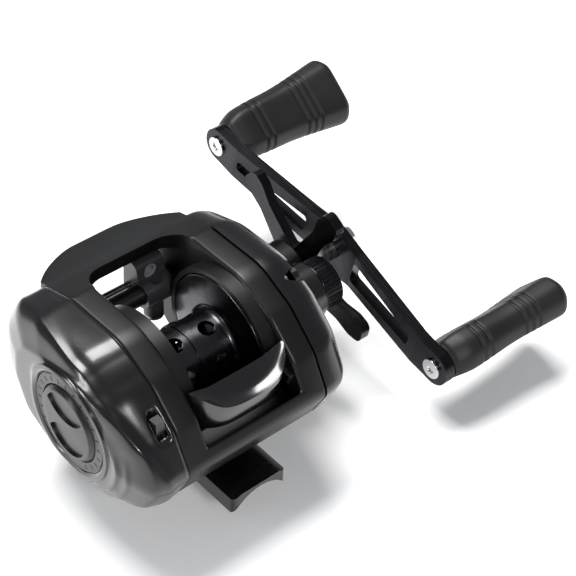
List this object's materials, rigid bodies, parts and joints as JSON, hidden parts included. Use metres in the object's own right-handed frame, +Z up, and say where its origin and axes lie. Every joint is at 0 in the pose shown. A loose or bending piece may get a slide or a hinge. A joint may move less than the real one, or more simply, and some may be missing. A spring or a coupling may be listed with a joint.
{
  "type": "baitcasting reel",
  "caption": "Black low-profile baitcasting fishing reel, right-hand retrieve, with double-knob handle, drag star, thumb bar, level wind and dial brake.",
  "frame": {"origin": "on the axis of the rod, under the middle of the reel foot", "axes": "+X along the spool axis towards the handle, +Y along the rod towards its tip, +Z up from the rod"},
  "size_m": [0.1291, 0.1017, 0.0523],
  "materials": {
    "frame_paint": "matte black, fine texture",
    "cover_paint": "gloss black",
    "foot_paint": "gloss black",
    "bar_gloss": "gloss black",
    "dial_plastic": "satin black",
    "spool_black": "black anodised, polished",
    "handle_black": "black anodised, satin",
    "nut_chrome": "bright",
    "steel": "ground",
    "bearing_steel": "polished",
    "brass": "machined",
    "knob_rubber": "matte",
    "bush_plastic": "plain",
    "clutch_plastic": "plain",
    "carbon": "woven fibre, matte",
    "guide_grey": "dark grey",
    "ceramic": "polished ring",
    "magnet": "nickel plate"
  },
  "bodies": {
    "frame": {"main_frame": "frame_paint", "reel_foot": "foot_paint", "foot_screws": "steel", "set_plate": "steel", "set_plate_screws": "steel", "shaft_bushing": "bush_plastic", "handle_side_cover": "cover_paint", "cover_screws": "steel", "pinion_bearing": "bearing_steel", "right_spool_bearing": "bearing_steel", "anti_reverse_bearing": "bearing_steel", "shaft_bearing": "bearing_steel", "worm_guard": "guide_grey", "guide_rod": "steel", "worm_bearings": "bush_plastic", "yoke_posts": "steel", "yoke_springs": "steel"},
    "palm_side": {"palm_cover": "cover_paint", "brake_housing": "dial_plastic", "housing_screws": "steel", "dial_bezel": "dial_plastic", "click_spring": "steel", "left_spool_bearing": "bearing_steel"},
    "latch": {"cover_latch": "dial_plastic"},
    "dial": {"brake_dial": "dial_plastic", "brake_cam": "clutch_plastic"},
    "carrier": {"magnet_carrier": "clutch_plastic", "magnets": "magnet"},
    "spool": {"spool": "spool_black", "spool_shaft": "steel", "spool_pin": "steel", "brake_rotor": "magnet"},
    "pinion": {"pinion_gear": "brass"},
    "yoke": {"clutch_yoke": "clutch_plastic"},
    "thumb": {"thumb_bar": "bar_gloss", "clutch_cam": "clutch_plastic"},
    "worm": {"worm_shaft": "steel", "worm_gear": "clutch_plastic"},
    "guide": {"line_guide": "guide_grey", "guide_insert": "ceramic", "guide_pawl": "brass", "pawl_cap": "steel"},
    "handle": {"drive_shaft": "steel", "drive_gear": "brass", "inner_drag_washer": "carbon", "keyed_washer": "steel", "outer_drag_washer": "carbon", "pressure_plate": "steel", "roller_sleeve": "steel", "spring_washers": "steel", "level_wind_gear": "clutch_plastic", "handle_arm": "handle_black", "handle_nut": "nut_chrome", "knob_spindles": "nut_chrome"},
    "star": {"drag_star": "handle_black"},
    "front_knob": {"front_knob": "knob_rubber", "front_knob_bushings": "bush_plastic"},
    "rear_knob": {"rear_knob": "knob_rubber", "rear_knob_bushings": "bush_plastic"},
    "tension": {"tension_knob": "handle_black"}
  },
  "joints": [
    {"name": "handle_crank", "type": "hinge", "parent": "frame", "child": "handle", "pos_m": [0.03, 0.01439, 0.0225], "axis": [1, 0, 0], "continuous": true},
    {"name": "spool_spin", "type": "hinge", "parent": "frame", "child": "spool", "pos_m": [0, 0, 0.0295], "axis": [1, 0, 0], "continuous": true},
    {"name": "thumb_bar", "type": "slide", "parent": "frame", "child": "thumb", "axis": [0, 0, -1], "range_m": [0, 0.004]},
    {"name": "clutch_yoke", "type": "slide", "parent": "frame", "child": "yoke", "axis": [1, 0, 0], "range_m": [0, 0.0015], "deforming": ["yoke_springs"]},
    {"name": "pinion_spin", "type": "hinge", "parent": "yoke", "child": "pinion", "pos_m": [0.02, 0, 0.0295], "axis": [1, 0, 0], "continuous": true},
    {"name": "worm_spin", "type": "hinge", "parent": "frame", "child": "worm", "pos_m": [0, 0.02279, 0.03107], "axis": [1, 0, 0], "continuous": true},
    {"name": "line_guide", "type": "slide", "parent": "frame", "child": "guide", "axis": [1, 0, 0], "range_m": [-0.0172, 0.0012]},
    {"name": "palm_cover_release", "type": "slide", "parent": "frame", "child": "palm_side", "axis": [-1, 0, 0], "range_m": [0, 0.03]},
    {"name": "cover_latch", "type": "slide", "parent": "palm_side", "child": "latch", "axis": [0, 0, 1], "range_m": [0, 0.003]},
    {"name": "brake_dial", "type": "hinge", "parent": "palm_side", "child": "dial", "pos_m": [-0.033, 0, 0.0295], "axis": [1, 0, 0], "range_deg": [0, 270]},
    {"name": "magnet_carrier", "type": "slide", "parent": "palm_side", "child": "carrier", "axis": [1, 0, 0], "range_m": [0, 0.0013]},
    {"name": "star_drag", "type": "hinge", "parent": "handle", "child": "star", "pos_m": [0.0467, 0.01439, 0.0225], "axis": [1, 0, 0], "range_deg": [-180, 180]},
    {"name": "tension_knob", "type": "hinge", "parent": "frame", "child": "tension", "pos_m": [0.0407, 0, 0.0295], "axis": [1, 0, 0], "range_deg": [-180, 180]},
    {"name": "front_knob_spin", "type": "hinge", "parent": "handle", "child": "front_knob", "pos_m": [0.075, 0.05576, 0.0322], "axis": [1, 0, 0], "continuous": true},
    {"name": "rear_knob_spin", "type": "hinge", "parent": "handle", "child": "rear_knob", "pos_m": [0.075, -0.02699, 0.0128], "axis": [1, 0, 0], "continuous": true}
  ],
  "couplings": [
    {"joint": "spool_spin", "follows": "handle_crank", "ratio": -6.2727},
    {"joint": "pinion_spin", "follows": "handle_crank", "ratio": -6.2727},
    {"joint": "worm_spin", "follows": "handle_crank", "ratio": -1.4},
    {"joint": "clutch_yoke", "follows": "thumb_bar", "ratio": 0.375},
    {"joint": "brake_dial", "follows": "magnet_carrier", "rad_per_m": 3624.9}
  ]
}
